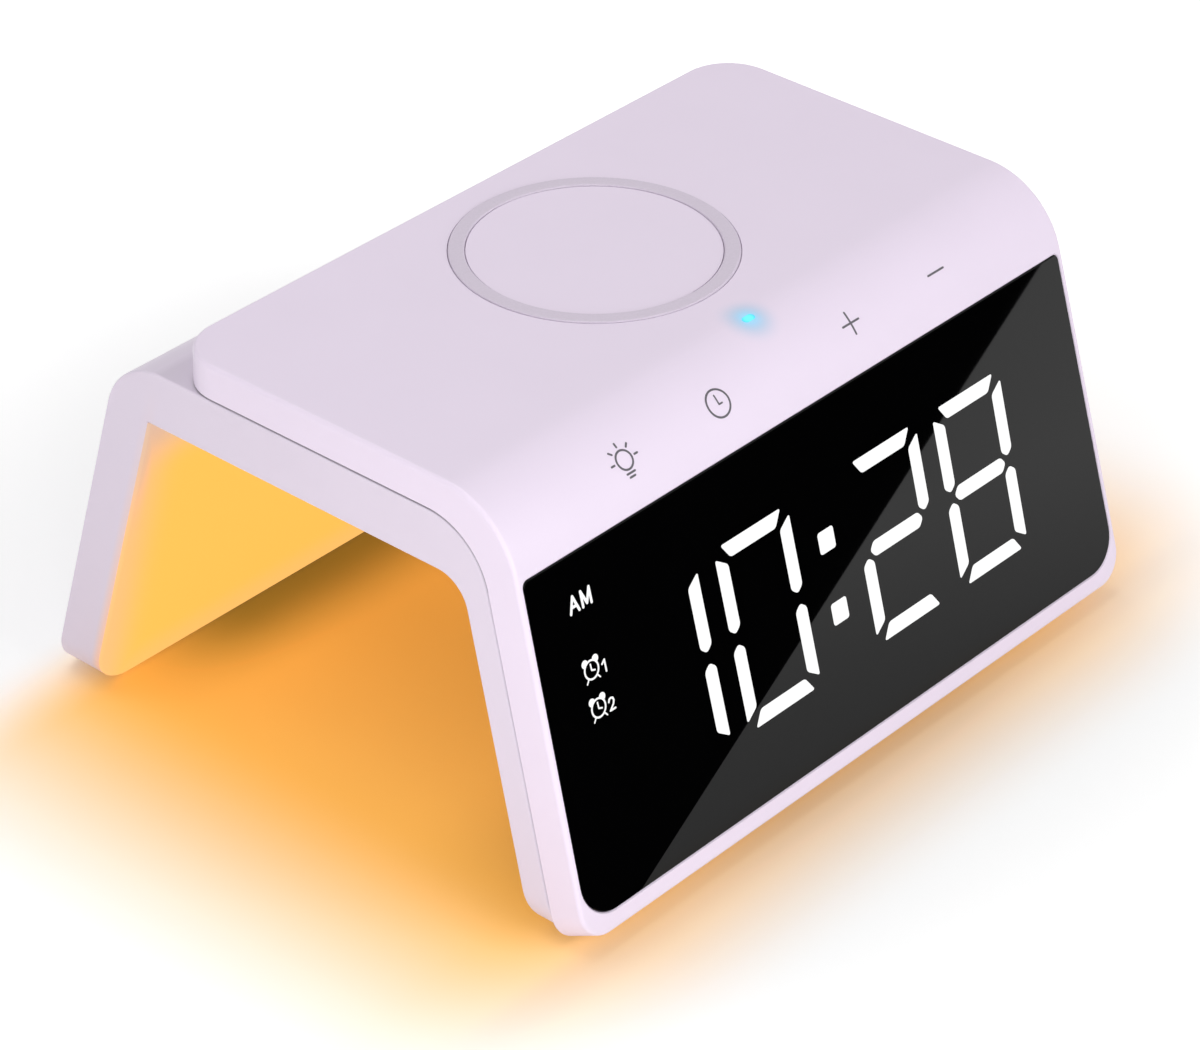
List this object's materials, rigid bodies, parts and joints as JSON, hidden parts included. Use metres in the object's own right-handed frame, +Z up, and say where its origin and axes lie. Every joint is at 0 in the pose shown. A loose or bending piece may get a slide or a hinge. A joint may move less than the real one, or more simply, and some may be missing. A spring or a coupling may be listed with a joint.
{
  "type": "wireless charging alarm clock",
  "caption": "Bridge-shaped bedside alarm clock with a display on its leaning front leg, a wireless charging top, touch keys on the bend and a night light under the arch.",
  "frame": {"origin": "on the table under the middle of the body's box", "axes": "+Z up, the display faces -Y, +X to the right as the display is read"},
  "size_m": [0.1524, 0.1312, 0.0819],
  "materials": {
    "lilac_cover": "fine satin texture",
    "lilac_base": "fine satin texture",
    "amber_diffuser": "frosted, lit warm from behind",
    "black_window": "polished",
    "white_light_bar": "milky",
    "cyan_light_pipe": "milky, lit",
    "adhesive_tape": "foam",
    "black_plastic": "moulded",
    "white_plastic": "white moulded",
    "circuit_board": "solder mask",
    "flex_film": "polyimide film",
    "copper": "copper",
    "ferrite": "sintered sheet",
    "silicone": "soft matte",
    "lilac_door": "fine satin texture",
    "cell_steel": "plated",
    "screw_steel": "blackened",
    "socket_steel": "stamped",
    "socket_plastic": "moulded"
  },
  "bodies": {
    "clock": {"front_cover": "lilac_cover", "bridge_base": "lilac_base", "night_light_diffuser": "amber_diffuser", "display_window": "black_window", "display_segments": "white_light_bar", "night_light_leds": "white_light_bar", "indicator_led": "white_light_bar", "indicator_light_pipe": "cyan_light_pipe", "window_tape": "adhesive_tape", "display_mask": "black_plastic", "battery_holder": "black_plastic", "display_chips": "black_plastic", "charging_components": "black_plastic", "coil_tray": "black_plastic", "speaker": "black_plastic", "night_light_reflector": "white_plastic", "display_board": "circuit_board", "charging_board": "circuit_board", "night_light_board": "circuit_board", "usb_board": "circuit_board", "touch_flex": "flex_film", "display_ribbon": "flex_film", "power_lead": "flex_film", "touch_electrodes": "copper", "charging_coil": "copper", "ferrite_sheet": "ferrite", "anti_slip_ring": "silicone", "rubber_feet": "silicone", "speaker_gasket": "silicone", "coin_cell": "cell_steel", "battery_contact": "cell_steel", "cover_screws": "screw_steel", "board_screws": "screw_steel", "usb_socket": "socket_steel", "usb_tongue": "socket_plastic"},
    "battery_door": {"battery_door": "lilac_door"}
  },
  "joints": [
    {"name": "door_turn", "type": "hinge", "parent": "clock", "child": "battery_door", "pos_m": [-0.05005, 0.00087, 0.0649], "axis": [0, 0, 1], "range_deg": [0, 40]}
  ]
}
